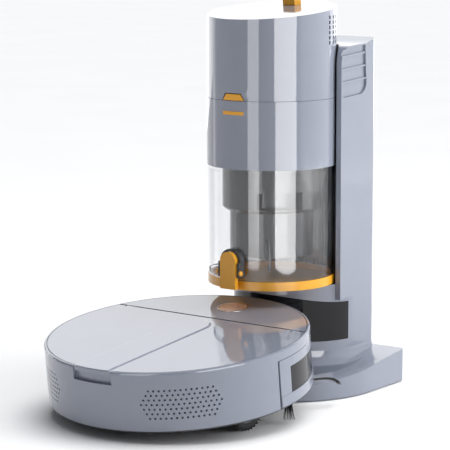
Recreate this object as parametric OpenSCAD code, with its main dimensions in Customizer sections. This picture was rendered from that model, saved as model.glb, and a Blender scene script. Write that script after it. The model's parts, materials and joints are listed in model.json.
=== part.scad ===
// Round robot vacuum parked nose-in on a self-emptying dock.
// The dock is built about the axis of its dust cup, and the robot about the centre of its underside.

/* [Robot] */
// Radius of the robot's body
body_r = 170; // [150:1:185]
// Height of the robot's side wall
body_h = 77.2; // [72:0.1:90]
// Nose-up tilt while parked on the ramp, degrees
park_tilt = 6.08; // [4:0.01:7]
// Underside height above the floor at the robot's centre
park_lift = 28.9; // [28.9:0.1:34]
// Gap between the parked robot's nose and the column
nose_gap = 3.5; // [3:0.1:12]
// Thickness of the robot's outer skin
skin = 3.4; // [2.5:0.1:4]
// Travel of the front bumper
bumper_travel = 2.5; // [1:0.1:3]
// Radius of the power button
button_r = 18.7; // [12:0.1:22]
// Radius of a drive wheel's tyre
tyre_r = 35; // [30:0.5:35]
// Width of a drive wheel
tyre_w = 22; // [14:0.5:24]
// Radius of the brush roll
roll_r = 19; // [14:0.5:20]

/* [Dock] */
// Half width of the column
column_half = 92; // [84:1:100]
// Distance from the cup's axis to the column's back
column_back = 116; // [112:1:130]
// Height of the column at its back
column_h = 467.4; // [420:1:520]
// Half width of the base
base_half = 140; // [130:1:160]
// Height of the base's rim
base_rim = 39; // [36:1:44]
// Length of the base in front of the cup's axis
ramp_reach = 165; // [150:1:180]
// Wall of the dock's mouldings
dock_wall = 3; // [2.4:0.1:3.4]

/* [Dust cup] */
// Outer radius of the clear cup at its base
cup_r = 85; // [80:0.5:88]
// Height of the cup's bottom above the floor
cup_floor = 142.2; // [140:0.1:150]
// Height of the orange flap and ring
ring_h = 12.5; // [8:0.1:16]
// Height of the clear part of the cup
clear_h = 146.9; // [110:0.1:180]
// Height of the grey collar
collar_h = 89.8; // [70:0.1:110]
// Height of the motor head at its front
head_h = 105.8; // [90:0.1:130]
// Wall of the clear cup
cup_wall = 2.4; // [1.8:0.1:3]
// Clearance between the lifting collector and the column
lift_gap = 0.8; // [0.5:0.1:2]

/* [Hidden] */
$fn = 96;

// --- Robot, derived -------------------------------------------------------------------------
seam = 0.4;                                  // visible seam between fixed covers
d_centre = 68;                               // centre of the column's round front
robot_y = d_centre - column_half - nose_gap - body_r * cos(park_tilt);
lid_lip = 1;                                 // how far the lid's lip stops short of the side wall
base_lip = 1;                                // how far the base stands behind the column
rear_reach = -robot_y + (body_r - lid_lip) * cos(park_tilt) + body_h * sin(park_tilt);
axis_y = (rear_reach - column_back - base_lip) / 2; // puts the box's centre on the origin
band_h = 12.2;                               // fixed band above the bumper
bumper_h = body_h - band_h - 0.7;            // top of the bumper
bumper_low = 4;                              // bottom of the bumper and side walls
inner_r = body_r - skin - bumper_travel - 1.5; // outside of the chassis wall
chassis_wall = 2.4;
deck = 3;                                    // thickness of the lid and front panel
lid_r = body_r - skin - 1;                   // radius of the lid and front panel
hinge_y = body_r * 0.39;                     // lid hinge line
hinge_r = 1.5;
hinge_z = body_h - hinge_r - 0.1;
hinge_pin_r = 0.8;
hinge_x = 128;                               // half distance between the hinge bosses
notch_half = 30;                             // half width of the finger notch
notch_depth = 17;
button_y = body_r * 0.7;
wheel_x = 118;
wheel_y = -26;
wheel_z = (tyre_r - park_lift - wheel_y * sin(park_tilt)) / cos(park_tilt);
axle_r = 3;
running = 0.05;                              // running clearance of a pin in its bore
arm_pivot = [wheel_y + 48, wheel_z + 16];    // suspension pivot, along and above
arm_pin_r = 2.5;
arm_in = wheel_x - tyre_w / 2 - 15;          // inner face of a suspension arm
arm_out = wheel_x - tyre_w / 2 - 2.5;        // outer face of a suspension arm
well_half = tyre_w / 2 + 4;
roll_y = 62;
roll_z = roll_r - 3;
roll_half = 84;
chamber_gap = 3;                             // air around the brush roll
side_brush = [112, 84];
tuft_r = 72;
caster_y = 124;
caster_trail = 12;
caster_r = 10;
caster_z = -1;
bin_half = 62;
bin_front = 18;
bin_back = -122;
bin_low = 8;
bin_top = body_h - deck - 5;
pad_x = 34;                                  // half distance between the charging pads
pad_y = 135;
shell_end = -body_r * 0.077;                 // where the rear wall ends and the bumper begins
window_end = body_r * 0.053;                 // where the bumper's dark window begins
window_band = [18.4, 12.5];                  // window's bottom, and its top below the bumper's
hole_r = 1.35;                               // perforations in the rear wall
hole_row = 5.8;                              // height between rows of perforations
hole_pitch = 2.22;                           // angle between two perforations, degrees
hole_rows = 7;
hole_low = 20;                               // height of the lowest row
hole_least = 13;                             // perforations in the shortest row
patch_at = 39.4;                             // a patch's angle from the robot's rear

// --- Dock, derived --------------------------------------------------------------------------
cheek_y = 30;                                // front edge of the column's cheeks
cover_y = 101;                               // seam between column housing and back cover
shelf_top = cup_floor - 1.2;
shelf_low = 115.8;                           // underside of the shelf at the sides
arch_r = 266;                                // radius of the shelf's arched underside
window_low = 64;
window_t = 2.2;
recess_r = cup_r + 2.5 + lift_gap + 1.2;     // hole in the housing, with the liner in it
liner_t = 1.2;
groove_half = 26;                            // groove for the flap hinge
groove_y = recess_r + 5;
duct_at = [68, 88.5];                        // centre of the rising duct
duct_r = 11;
duct_wall = 1.6;
duct_out_h = 330;                            // height of the duct's mouth at the collar
ramp_half = 40;
port_y = -134;
base_gap = 1.5;                              // height of the rubber feet
foot_z = 18.5;                               // where the column's foot stands in the base
flare = 18;                                  // radius of the fillet round the column's foot
flare_z = base_rim - 4;                      // height where that fillet meets the base
corner_r = 12;                               // radius of the column's rear corners
base_corner = 7;                             // radius of the base's rear corners
inlet_x = -52;
inlet_z = 66;
screw_places = [[-105, 96], [105, 96], [-118, 20], [118, 20], [-60, -60], [60, -60]];
foot_places = [[-110, 60], [110, 60], [-84, -26], [84, -26], [0, -152], [0, 90]];
louvre_slope = 3.6;                          // slope of the louvres, degrees
bar_pitch = 17.2;                            // height between two louvre bars

// --- Cup, derived ---------------------------------------------------------------------------
ring_top = cup_floor + ring_h;
collar_low = ring_top + clear_h;
head_low = collar_low + collar_h;
cup_taper = 0.2;                             // how much wider the clear cup is at its top
head_r = cup_r + 1.5;
head_top_r = head_r - 0.5;
top_slope = 6;                               // slope of the head's top, degrees
head_front = head_low + head_h;
flap_pin_y = cup_r + 4.2;
flap_pin_z = cup_floor + 7;
flap_pin_r = 1.5;
latch_z = cup_floor + 23.8;                  // height of the latch's pin
latch_y = -(cup_r + 8.7);
latch_pin_r = 1.6;
latch_w = 25;
marker_z = head_low - 15.9;                  // middle of the marker bar
marker_half = 16.5;
marker_t = 2.4;                              // half height of the marker bar
button_back_y = 46.5;
vent_n = 22;                                 // columns of vents round the back of the head
vent_pitch = 7.8;                            // angle between two columns, degrees
vent_row = 6.6;                              // height between two rows

// --- Helpers --------------------------------------------------------------------------------
module in_dock() { translate([0, axis_y, 0]) children(); }
module in_robot() { translate([0, axis_y + robot_y, park_lift]) rotate([park_tilt, 0, 0]) children(); }
// Ring between two radii, from z0 to z1
module ring(ro, ri, z0, z1) {
    difference() {
        translate([0, 0, z0]) cylinder(r = ro, h = z1 - z0, $fn = 180);
        translate([0, 0, z0 - 1]) cylinder(r = ri, h = z1 - z0 + 2, $fn = 180);
    }
}
// Box given by two corners
module span(a, b) { translate(a) cube(b - a); }
// Cylinder along X between two places
module rod(x0, x1, y, z, r) { translate([x0, y, z]) rotate([0, 90, 0]) cylinder(r = r, h = x1 - x0, $fn = 48); }
// Plate with rounded corners
module plate2d(x, y0, y1, r) {
    union() {
        translate([-x + r, y0]) square([2 * x - 2 * r, y1 - y0]);
        translate([-x, y0 + r]) square([2 * x, y1 - y0 - 2 * r]);
        for (sx = [-1, 1], py = [y0 + r, y1 - r]) translate([sx * (x - r), py]) circle(r);
    }
}
// Solid with a side profile in the YZ plane, width 2 * x
module profile_x(x) {
    rotate([90, 0, 90]) translate([0, 0, -x]) linear_extrude(2 * x) children();
}
// Column outline: round front, straight sides, up to the given back
module column2d(r, back) {
    union() {
        intersection() {
            translate([0, d_centre]) circle(r, $fn = 180);
            translate([-r - 1, d_centre - r - 1]) square([2 * r + 2, r + 1]);
        }
        translate([-r, d_centre]) square([2 * r, back - d_centre]);
    }
}
// Base outline: round front, straight sides, rounded rear corners
module base2d(r) {
    union() {
        intersection() {
            translate([0, 30]) circle(r, $fn = 180);
            translate([-r - 1, 30 - r - 1]) square([2 * r + 2, r + 1]);
        }
        plate2d(r, 30, column_back + base_lip - base_half + r, base_corner);
        translate([-r, 30]) square([2 * r, 40]);
        plate2d(r / 2, -ramp_reach + base_half - r, 30, 20);
    }
}
// Height of the base's top along its length
module base_top2d(drop) {
    translate([0, -drop]) polygon([[-ramp_reach - 1, 4], [-120, 7], [-73, 19], [-45, 25], [18, base_rim - 6],
        [56, base_rim], [90, base_rim + 4], [column_back + 2, base_rim + 6.5], [column_back + 2, 0],
        [-ramp_reach - 1, 0]]);
}
// Floor of the dish in the base's top, which runs out beside the column
module base_dish2d() {
    polygon([[-ramp_reach - 1, -3], [-120, 0], [-73, 12], [-45, 18], [18, base_rim - 12],
        [40, base_rim - 6], [62, base_rim + 0.8], [90, base_rim + 8], [column_back + 2, base_rim + 16],
        [column_back + 2, -5], [-ramp_reach - 1, -5]]);
}
// Body of the column's foot up to the base's top, between two places along the base
module foot_fill(y0, y1) {
    intersection() {
        translate([0, 0, foot_z]) linear_extrude(80) column2d(column_half + flare, y1);
        profile_x(column_half + flare + 1) base_top2d(0);
        span([-200, y0, 0], [200, y1, 99]);
    }
}
// Side profile of the column's top, rounded at the front
module column_top2d(inset) {
    r = 24;
    f = cheek_y + inset;
    t = column_h - 8 - inset;
    union() {
        translate([f + r, t - r]) circle(r);
        translate([f, 0]) square([r + 1, t - r]);
        polygon([[f + r, 0], [column_back - inset, 0], [column_back - inset, column_h - inset],
                 [88, column_h - 6.6 - inset], [f + r, t]]);
    }
}
// Parked robot with air around it, to cut the nest in the dock
module robot_air(g) {
    translate([0, robot_y, park_lift]) rotate([park_tilt, 0, 0])
        translate([0, 0, -g]) cylinder(r = body_r + g, h = body_h + 60, $fn = 180);
}
// Route of the dust duct across the base: along the middle, then round to the rising pipe
module duct2d(w) {
    union() {
        translate([-w, port_y - w]) square([2 * w, -port_y + 2 * w]);
        translate([-w, -w]) square([duct_at[0] + 2 * w, 2 * w]);
        translate([duct_at[0] - w, -w]) square([2 * w, duct_at[1] + w]);
        translate(duct_at) circle(w);
    }
}

// --- Dock -----------------------------------------------------------------------------------
module base_plate() {
    color([0.72, 0.75, 0.8]) in_dock() difference() {
        union() {
            intersection() {
                translate([0, 0, base_gap]) linear_extrude(60) base2d(base_half);
                profile_x(base_half + 5) base_top2d(0);
            }
            intersection() {
                translate([0, 0, base_gap]) linear_extrude(60) plate2d(ramp_half, -ramp_reach, 30, 12);
                profile_x(ramp_half) polygon([[-ramp_reach, 0], [-ramp_reach, 4], [-150, 8], [-130, 20],
                    [-96, 29.2], [0, 29.2], [0, 0]]);
            }
        }
        // dished top
        difference() {
            intersection() {
                linear_extrude(80) base2d(base_half - 9);
                difference() {
                    span([-200, -90, 0], [200, column_back - 14, 90]);
                    profile_x(210) base_dish2d();
                }
            }
            translate([0, 0, -1]) linear_extrude(99) plate2d(ramp_half, -ramp_reach, 30, 12);
        }
        // hollow underside
        intersection() {
            translate([0, 0, -1]) linear_extrude(80) base2d(base_half - 2 * dock_wall);
            profile_x(base_half) base_top2d(12);
        }
        span([-ramp_half + 4, port_y - 16, -1], [ramp_half - 4, 0, 17.5]);
        // column foot sits here
        translate([0, 0, foot_z]) linear_extrude(80)
            column2d(column_half + flare + 0.1, column_back + 5);
        // seat of the underside cover
        linear_extrude(base_gap + 1.8) base2d(base_half - 2 * dock_wall);
        // mouth of the dust port
        translate([0, port_y, 0]) cylinder(r = 16, h = 60);
        robot_air(2);
    }
}
module base_cover() {
    color([0.2, 0.2, 0.22]) in_dock() difference() {
        translate([0, 0, base_gap]) linear_extrude(1.8) base2d(base_half - 2 * dock_wall - 0.3);
        for (p = screw_places) translate([p[0], p[1], -1]) cylinder(r = 1.7, h = 20, $fn = 32);
    }
}
module rubber_feet() {
    color([0.1, 0.1, 0.1]) in_dock() for (p = foot_places)
        translate([p[0], p[1], 0]) cylinder(r = 8, h = base_gap);
}
module base_screws() {
    color("silver") in_dock() for (p = screw_places) translate([p[0], p[1], 0.4]) union() {
        cylinder(r = 3, h = base_gap - 0.4, $fn = 32);
        cylinder(r = 1.6, h = 5, $fn = 32);
    }
}
module column_housing() {
    inner = column_half - dock_wall - 3;
    color([0.78, 0.8, 0.86]) in_dock() difference() {
        union() {
            // lower column with the shelf
            translate([0, 0, foot_z]) linear_extrude(shelf_top - foot_z) column2d(column_half, cover_y);
            // flared foot
            intersection() {
                translate([0, d_centre, 0]) rotate_extrude($fn = 180) foot_flare2d();
                span([-200, -60, 0], [200, d_centre, 80]);
            }
            straight_flare(d_centre, cover_y);
            foot_fill(10, cover_y);
            // upper column around the cup
            intersection() {
                translate([-column_half, cheek_y, 120])
                    cube([2 * column_half, cover_y - cheek_y, column_h]);
                profile_x(column_half + 1) union() {
                    column_top2d(0);
                    translate([cheek_y, 0]) square([40, 200]);
                }
            }
        }
        // recess for the dust collector, and the groove for its hinge
        translate([0, 0, shelf_top]) cylinder(r = recess_r, h = 500, $fn = 180);
        span([-groove_half, 60, shelf_top], [groove_half, groove_y, 600]);
        // seat of the front window
        difference() {
            translate([0, 0, window_low]) linear_extrude(90) difference() {
                column2d(column_half + 5, 53);
                column2d(column_half - window_t, 200);
            }
            span([-200, 52, 0], [200, 300, 300]);
            translate([0, 52, shelf_low + arch_r]) rotate([0, 90, 0])
                cylinder(r = arch_r, h = 400, center = true, $fn = 180);
        }
        // lower cavity, open at the back and to the base
        translate([0, 0, -1]) linear_extrude(shelf_top - dock_wall + 1) column2d(inner, cover_y + 1);
        // upper cavity behind the recess
        difference() {
            translate([0, 0, shelf_top + 4]) linear_extrude(480) translate([-inner + 2, 40])
                square([2 * inner - 4, 80]);
            cylinder(r = recess_r + dock_wall, h = 900, $fn = 180);
            span([-groove_half - 3, 0, 0], [groove_half + 3, groove_y + 2.5, 900]);
            translate([0, 0, column_h - 18]) cylinder(r = 200, h = 100);
        }
        // passage of the duct through the shelf and into the recess
        translate([duct_at[0], duct_at[1], 100]) cylinder(r = duct_r + duct_wall + 0.3, h = 60);
        duct_branch(duct_r + duct_wall - 0.9, recess_r - 3);
        // side louvres
        for (s = [0, 1]) mirror([s, 0, 0]) louvre_opening(column_half - 4, column_half + 1, 0);
        robot_air(3);
    }
}
// Flare along the column's straight sides
module straight_flare(y0, y1) {
    for (s = [0, 1]) mirror([s, 0, 0]) translate([0, y1, 0]) rotate([90, 0, 0])
        linear_extrude(y1 - y0) foot_flare2d();
}
// Flare round the column's rear corners, cut off at the back
module corner_flare() {
    for (s = [0, 1]) mirror([s, 0, 0]) {
        translate([0, column_back - corner_r, 0]) intersection() {
            translate([column_half - corner_r, 0, 0]) rotate_extrude($fn = 180)
                translate([corner_r - column_half, 0]) foot_flare2d();
            span([column_half - corner_r + 1, 0, foot_z], [column_half + flare, corner_r, 90]);
        }
        translate([0, column_back - corner_r, 0]) rotate([90, 0, 0])
            linear_extrude(column_back - corner_r - cover_y) foot_flare2d();
    }
}
module foot_flare2d() {
    difference() {
        translate([column_half - 4, foot_z]) square([flare + 4, flare_z + flare - foot_z]);
        translate([column_half + flare, flare_z + flare]) circle(flare, $fn = 64);
    }
}
module louvre2d(grow) {
    w = 56 + 2 * grow;
    h = 64.4 + 2 * grow;
    r = 15;
    rotate(louvre_slope) translate([59 - grow, column_h - 79.4 - grow]) union() {
        square([w - r, h - r]);
        translate([r, r]) square([w - r, h - r]);
        translate([w - r, r]) circle(r);
        translate([r, h - r]) circle(r);
    }
}
module louvre_opening(x0, x1, grow) {
    translate([x0, 0, 0]) rotate([90, 0, 90]) linear_extrude(x1 - x0) louvre2d(grow);
}
module louvre_panels() {
    color([0.72, 0.75, 0.8]) in_dock() for (s = [0, 1]) mirror([s, 0, 0])
        louvre_opening(column_half - 4, column_half - 3, -0.05);
}
module louvre_bars() {
    color([0.75, 0.78, 0.84]) in_dock() for (s = [0, 1]) mirror([s, 0, 0]) intersection() {
        louvre_opening(column_half - 3, column_half - 0.6, 0);
        union() for (i = [1:3]) rotate([louvre_slope, 0, 0])
            translate([column_half - 3, 20, column_h - 78 + i * bar_pitch]) cube([2.4, 110, 2.6]);
    }
}
module column_liner() {
    color([0.05, 0.05, 0.06]) in_dock() difference() {
        intersection() {
            ring(recess_r, recess_r - liner_t, shelf_top, column_h + 9);
            span([-150, cheek_y + 2, 0], [150, 150, column_h + 20]);
            profile_x(150) column_top2d(1);
        }
        span([-groove_half, 60, 0], [groove_half, 120, 600]);
        duct_branch(duct_r + duct_wall - 0.9, recess_r - 6);
    }
}
module back_cover() {
    color([0.78, 0.8, 0.86]) in_dock() difference() {
        union() {
            intersection() {
                translate([0, 0, foot_z]) linear_extrude(column_h) difference() {
                    plate2d(column_half, cover_y - 40, column_back, corner_r);
                    translate([-200, 0]) square([400, cover_y]);
                }
                profile_x(column_half + 1) column_top2d(0);
            }
            corner_flare();
            foot_fill(cover_y, column_back);
        }
        difference() {
            translate([0, 0, -1]) linear_extrude(column_h - 12) difference() {
                plate2d(column_half - dock_wall - 3, 0, column_back - dock_wall, 9);
                translate([-200, -10]) square([400, cover_y]);
            }
            translate([0, 0, column_h - 22]) cylinder(r = 400, h = 100);
        }
        // mains inlet
        translate([inlet_x, column_back + 1, inlet_z]) rotate([90, 0, 0]) linear_extrude(20) inlet2d(0.05);
    }
}
module inlet2d(g) {
    union() {
        translate([-5.5, -5 - g]) square([11, 10 + 2 * g]);
        for (s = [-1, 1]) translate([s * 5.5, 0]) circle(5 + g);
    }
}
module mains_inlet() {
    color([0.08, 0.08, 0.08]) in_dock() translate([inlet_x, column_back, inlet_z]) union() {
        difference() {
            rotate([90, 0, 0]) linear_extrude(20) inlet2d(0);
            translate([0, 1, 0]) rotate([90, 0, 0]) linear_extrude(16) inlet2d(-1.6);
        }
        for (s = [-1, 1]) translate([s * 4, -4, 0]) rotate([90, 0, 0]) cylinder(r = 1.1, h = 14, $fn = 32);
    }
}
module front_window() {
    color([0.03, 0.03, 0.05]) in_dock() difference() {
        translate([0, 0, window_low]) linear_extrude(90) difference() {
            column2d(column_half, 52);
            column2d(column_half - window_t, 200);
            translate([-200, 52]) square([400, 100]);
        }
        translate([0, 52, shelf_low + arch_r]) rotate([0, 90, 0])
            cylinder(r = arch_r, h = 400, center = true, $fn = 180);
    }
}
module duct_branch(r, reach) {
    a = atan2(duct_at[1], duct_at[0]);
    d = norm(duct_at);
    translate([0, 0, duct_out_h]) rotate([0, 0, a]) translate([reach, 0, 0]) rotate([0, 90, 0])
        cylinder(r = r, h = d - reach);
}
module dust_duct() {
    up = [duct_at[0], duct_at[1], 5];
    color([0.15, 0.15, 0.16]) in_dock() difference() {
        union() {
            translate([0, 0, 3.6]) linear_extrude(13.4) duct2d(duct_r + duct_wall);
            translate(up) cylinder(r = duct_r + duct_wall, h = duct_out_h + 8);
            duct_branch(duct_r + duct_wall - 1.2, recess_r - liner_t + 0.2);
            translate([0, port_y, 3.6]) cylinder(r = 14, h = 15);
        }
        translate([0, 0, 5.2]) linear_extrude(10.2) duct2d(duct_r);
        translate(up + [0, 0, 1]) cylinder(r = duct_r, h = duct_out_h + 5);
        duct_branch(duct_r - 1.2, recess_r - 6);
        translate([0, port_y, 6]) cylinder(r = 12.2, h = 30);
    }
}
module port_seal() {
    color([0.1, 0.1, 0.1]) in_dock() translate([0, port_y, 0]) difference() {
        union() {
            ring(14, 12.2, 18.6, 24);
            ring(18.4, 12.2, 24, 26.4);
        }
        translate([-30, -30, 0]) cube([60, 60, 1]);
    }
}
module dock_contacts() {
    h = park_lift + (pad_y * sin(park_tilt)) - 1.2;
    y = robot_y + pad_y * cos(park_tilt);
    color([0.85, 0.7, 0.4]) in_dock() for (s = [-1, 1]) translate([s * pad_x, y, 29.2]) union() {
        translate([-3.5, -4, 0]) cube([7, 8, h - 29.2 - 1]);
        translate([-2.5, 0, h - 30.4]) rotate([0, 90, 0]) cylinder(r = 1.2, h = 5, $fn = 32);
    }
}
module power_supply() {
    color([0.3, 0.3, 0.32]) in_dock() difference() {
        span([-78, 54, 46], [14, 96, 104]);
        for (i = [0:6]) span([-70 + i * 11, 53, 60], [-66 + i * 11, 56, 92]);
    }
}
module control_board() {
    color([0.05, 0.3, 0.15]) in_dock() union() {
        span([-60, 18, 108], [50, 90, 109.6]);
        span([-40, 30, 109.6], [-16, 54, 113]);
        span([4, 36, 109.6], [20, 52, 118]);
        for (x = [30, 40]) translate([x, 70, 109.6]) cylinder(r = 4, h = 12, $fn = 32);
    }
}

// --- Dust collector -------------------------------------------------------------------------
module clear_cup() {
    color([0.85, 0.87, 0.9, 0.35]) in_dock() difference() {
        union() {
            translate([0, 0, ring_top]) cylinder(r1 = cup_r, r2 = cup_r + cup_taper, h = clear_h, $fn = 180);
            translate([0, 0, collar_low]) cylinder(r = cup_r - 2.2, h = 8, $fn = 180);
        }
        translate([0, 0, ring_top - 1]) cylinder(r = cup_r - cup_wall, h = clear_h - 4, $fn = 180);
        translate([0, 0, ring_top]) cylinder(r = cup_r - cup_wall - 2, h = clear_h + 20, $fn = 180);
    }
}
module collar() {
    a = atan2(duct_at[1], duct_at[0]);
    color([0.78, 0.8, 0.86]) in_dock() difference() {
        union() {
            translate([0, 0, collar_low]) cylinder(r = head_r, h = collar_h, $fn = 180);
        }
        translate([0, 0, collar_low - 1]) cylinder(r = cup_r - 2.2, h = 9, $fn = 180);
        translate([0, 0, collar_low + 12]) cylinder(r = cup_r - 2.4, h = collar_h, $fn = 180);
        translate([0, 0, collar_low]) cylinder(r = 70, h = 40, $fn = 180);
        // dust inlet and the slot of the marker bar
        translate([0, 0, duct_out_h]) rotate([0, 0, a]) translate([60, 0, 0]) rotate([0, 90, 0])
            cylinder(r = duct_r - 1.2, h = 60);
        intersection() {
            ring(head_r + 2, head_r - 1.8, marker_z - marker_t, marker_z + marker_t);
            span([-marker_half, -120, 0], [marker_half, 0, 600]);
        }
    }
}
module marker_bar() {
    color([0.96, 0.66, 0.18]) in_dock() intersection() {
        ring(head_r + 0.5, head_r - 1.75, marker_z - marker_t + 0.05, marker_z + marker_t - 0.05);
        span([-marker_half + 0.05, -120, 0], [marker_half - 0.05, 0, 600]);
    }
}
module shroud_upper() {
    top = collar_low + 12;
    low = collar_low - 60.5;
    color([0.3, 0.3, 0.33]) in_dock() difference() {
        union() {
            translate([0, 0, low + 4]) cylinder(r = 66, h = top - low - 4, $fn = 128);
            translate([0, 0, low]) cylinder(r1 = 62, r2 = 66, h = 4, $fn = 128);
        }
        translate([0, 0, low + 2.5]) cylinder(r = 63.5, h = 200, $fn = 128);
        translate([0, 0, low - 1]) cylinder(r = 50, h = 20, $fn = 128);
        // rectangular inlet window
        intersection() {
            ring(80, 55, low + 5, low + 28);
            rotate([0, 0, -71.5]) cube([120, 120, 900]);
            rotate([0, 0, -105]) cube([120, 120, 900]);
        }
    }
}
module shroud_lower() {
    low = ring_top + 26;
    top = collar_low - 60.5;
    color([0.22, 0.22, 0.25]) in_dock() difference() {
        union() {
            translate([0, 0, low]) cylinder(r = 56, h = top - low, $fn = 128);
            translate([0, 0, top]) cylinder(r = 49.8, h = 30, $fn = 128);
        }
        translate([0, 0, low + 2]) cylinder(r = 48, h = 200, $fn = 128);
        translate([0, 0, low - 1]) cylinder(r = 30, h = 20, $fn = 128);
    }
}
module cyclone_cones() {
    top = collar_low + 44;
    color([0.35, 0.35, 0.38]) in_dock() union() {
        translate([0, 0, top]) ring(cup_r - 2.6, 24, 0, 3);
        for (i = [0:7]) rotate([0, 0, i * 45]) translate([44, 0, top - 60]) difference() {
            cylinder(r1 = 5, r2 = 15.5, h = 60.5, $fn = 48);
            translate([0, 0, -1]) cylinder(r1 = 3.5, r2 = 14, h = 63, $fn = 48);
        }
    }
}
module cup_filter() {
    color([0.9, 0.9, 0.88]) in_dock() translate([0, 0, collar_low + 48]) difference() {
        cylinder(r = 60, h = 36, $fn = 96);
        translate([0, 0, 3]) cylinder(r = 44, h = 40, $fn = 96);
    }
}
module bottom_flap() {
    color([0.96, 0.66, 0.18]) in_dock() difference() {
        union() {
            translate([0, 0, cup_floor]) cylinder(r = cup_r + 0.6, h = 4, $fn = 180);
            ring(cup_r + 0.6, cup_r - 5, cup_floor, ring_top - 0.5);
            // hinge knuckle
            rod(-9, 9, flap_pin_y, flap_pin_z, 3.6);
            span([-9, cup_r - 4, flap_pin_z - 3.6], [9, flap_pin_y, flap_pin_z + 2]);
            // tab under the latch
            span([-8, -cup_r - 2.4, cup_floor + 2], [8, -cup_r + 2, cup_floor + 6]);
        }
        ring(cup_r - 1.2, cup_r - 3.6, ring_top - 3, ring_top + 1);
        rod(-20, 20, flap_pin_y, flap_pin_z, flap_pin_r + running);
    }
}
module flap_seal() {
    color([0.12, 0.12, 0.12]) in_dock() ring(cup_r - 1.2, cup_r - 3.6, ring_top - 3, ring_top - 0.4);
}
module flap_pin() {
    color("silver") in_dock() rod(-17, 17, flap_pin_y, flap_pin_z, flap_pin_r);
}
// Ears on the cup for the flap's hinge and for the latch
module latch_bracket() {
    color([0.16, 0.16, 0.18]) in_dock() difference() {
        union() {
            for (s = [-1, 1]) {
                translate([s * 15.5 - 1.5, -cup_r - 11, latch_z - 6]) cube([3, 13, 20]);
                span([s * 12.5 - 2.5, cup_r - 3, ring_top], [s * 12.5 + 2.5, flap_pin_y + 3, ring_top + 6]);
                span([s * 12.5 - 2.5, cup_r + 1.2, flap_pin_z - 3], [s * 12.5 + 2.5, flap_pin_y + 3, ring_top]);
            }
            difference() {
                translate([0, -cup_r + 2, latch_z + 14]) rotate([90, 0, 0]) cylinder(r = 17, h = 9);
                translate([0, -cup_r + 3, latch_z + 14]) rotate([90, 0, 0]) cylinder(r = 14, h = 20);
                span([-30, -140, latch_z - 20], [30, 0, latch_z + 14]);
            }
        }
        translate([0, 0, ring_top - 1])
            cylinder(r1 = cup_r + 0.01, r2 = cup_r + cup_taper + 0.01, h = clear_h, $fn = 180);
        rod(-30, 30, latch_y, latch_z, latch_pin_r);
        rod(-20, 20, flap_pin_y, flap_pin_z, flap_pin_r);
    }
}
module cup_latch() {
    r = latch_w / 2;
    color([0.96, 0.66, 0.18]) in_dock() difference() {
        translate([0, latch_y + 1.5, 0]) rotate([90, 0, 0]) linear_extrude(6) union() {
            translate([0, cup_floor + 51.3 - r]) circle(r);
            translate([-r, cup_floor + 2]) square([latch_w, 49.3 - r]);
        }
        rod(-30, 30, latch_y, latch_z, latch_pin_r + running);
    }
}
module latch_pin() {
    color("silver") in_dock() rod(-17, 17, latch_y, latch_z, latch_pin_r);
}

// --- Motor head -----------------------------------------------------------------------------
module head_cut(drop) {
    translate([0, -head_r, head_front - drop]) rotate([top_slope, 0, 0])
        translate([-200, -50, 0]) cube([400, 400, 200]);
}
module head_shell() {
    color([0.8, 0.82, 0.88]) in_dock() difference() {
        translate([0, 0, head_low + seam]) cylinder(r1 = head_r, r2 = head_top_r, h = head_h + 40, $fn = 180);
        head_cut(0);
        difference() {
            translate([0, 0, head_low + 4]) cylinder(r = head_r - dock_wall, h = 300, $fn = 180);
            head_cut(dock_wall);
        }
        translate([0, 0, head_low - 1]) cylinder(r = 40, h = 20);
        // grid of square vents round the back
        for (row = [0:5], i = [0:vent_n - 1])
            rotate([0, 0, 90 + (i - (vent_n - 1) / 2) * vent_pitch])
                translate([head_r, 0, head_low + 73.5 + row * vent_row])
                    cube([12, 4.2, 4.6], center = true);
        // pocket of the release button
        release_block(1.4, 12);
        translate([0, button_back_y, head_front + 10]) cube([21.2, 16.7, 60], center = true);
    }
}
module release_block(g, depth) {
    translate([0, -head_r + depth - 2, head_low]) rotate([90, 0, 0]) linear_extrude(depth)
        polygon([[-17 - g, 0.2], [17 + g, 0.2], [11.5 + g, 8.6 + g], [-11.5 - g, 8.6 + g]]);
}
module release_button() {
    color([0.96, 0.66, 0.18]) in_dock() difference() {
        intersection() {
            translate([0, 0, head_low + seam]) cylinder(r = head_r - 0.1, h = 20, $fn = 180);
            translate([0, 0, 0.4]) release_block(0, 6);
        }
        translate([0, 0, head_low - 1]) cylinder(r = head_r - 4, h = 30, $fn = 180);
    }
}
module top_button() {
    z = head_front + (button_back_y + head_r) * tan(top_slope);
    color([0.93, 0.55, 0.15]) in_dock() translate([0, button_back_y, z])
        rotate([top_slope, 0, 0]) translate([-10, -7.75, -3]) cube([20, 15.5, 13]);
}
module fan_motor() {
    color([0.35, 0.35, 0.38]) in_dock() difference() {
        translate([0, 0, head_low + 4.4]) union() {
            cylinder(r = 46, h = 8);
            translate([0, 0, 8]) cylinder(r = 36, h = 60);
        }
        translate([0, 0, head_low + 14]) cylinder(r = 33.5, h = 30);
        translate([0, 0, head_low]) cylinder(r = 26, h = 12);
        translate([0, 0, head_low]) cylinder(r = 20, h = 20);
    }
}
module fan_impeller() {
    color([0.7, 0.7, 0.72]) in_dock() translate([0, 0, head_low + 17]) union() {
        cylinder(r = 30, h = 2);
        cylinder(r = 9, h = 20, $fn = 48);
        for (i = [0:8]) rotate([0, 0, i * 40]) translate([7, -0.7, 1]) cube([22.6, 1.4, 15]);
    }
}

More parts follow.
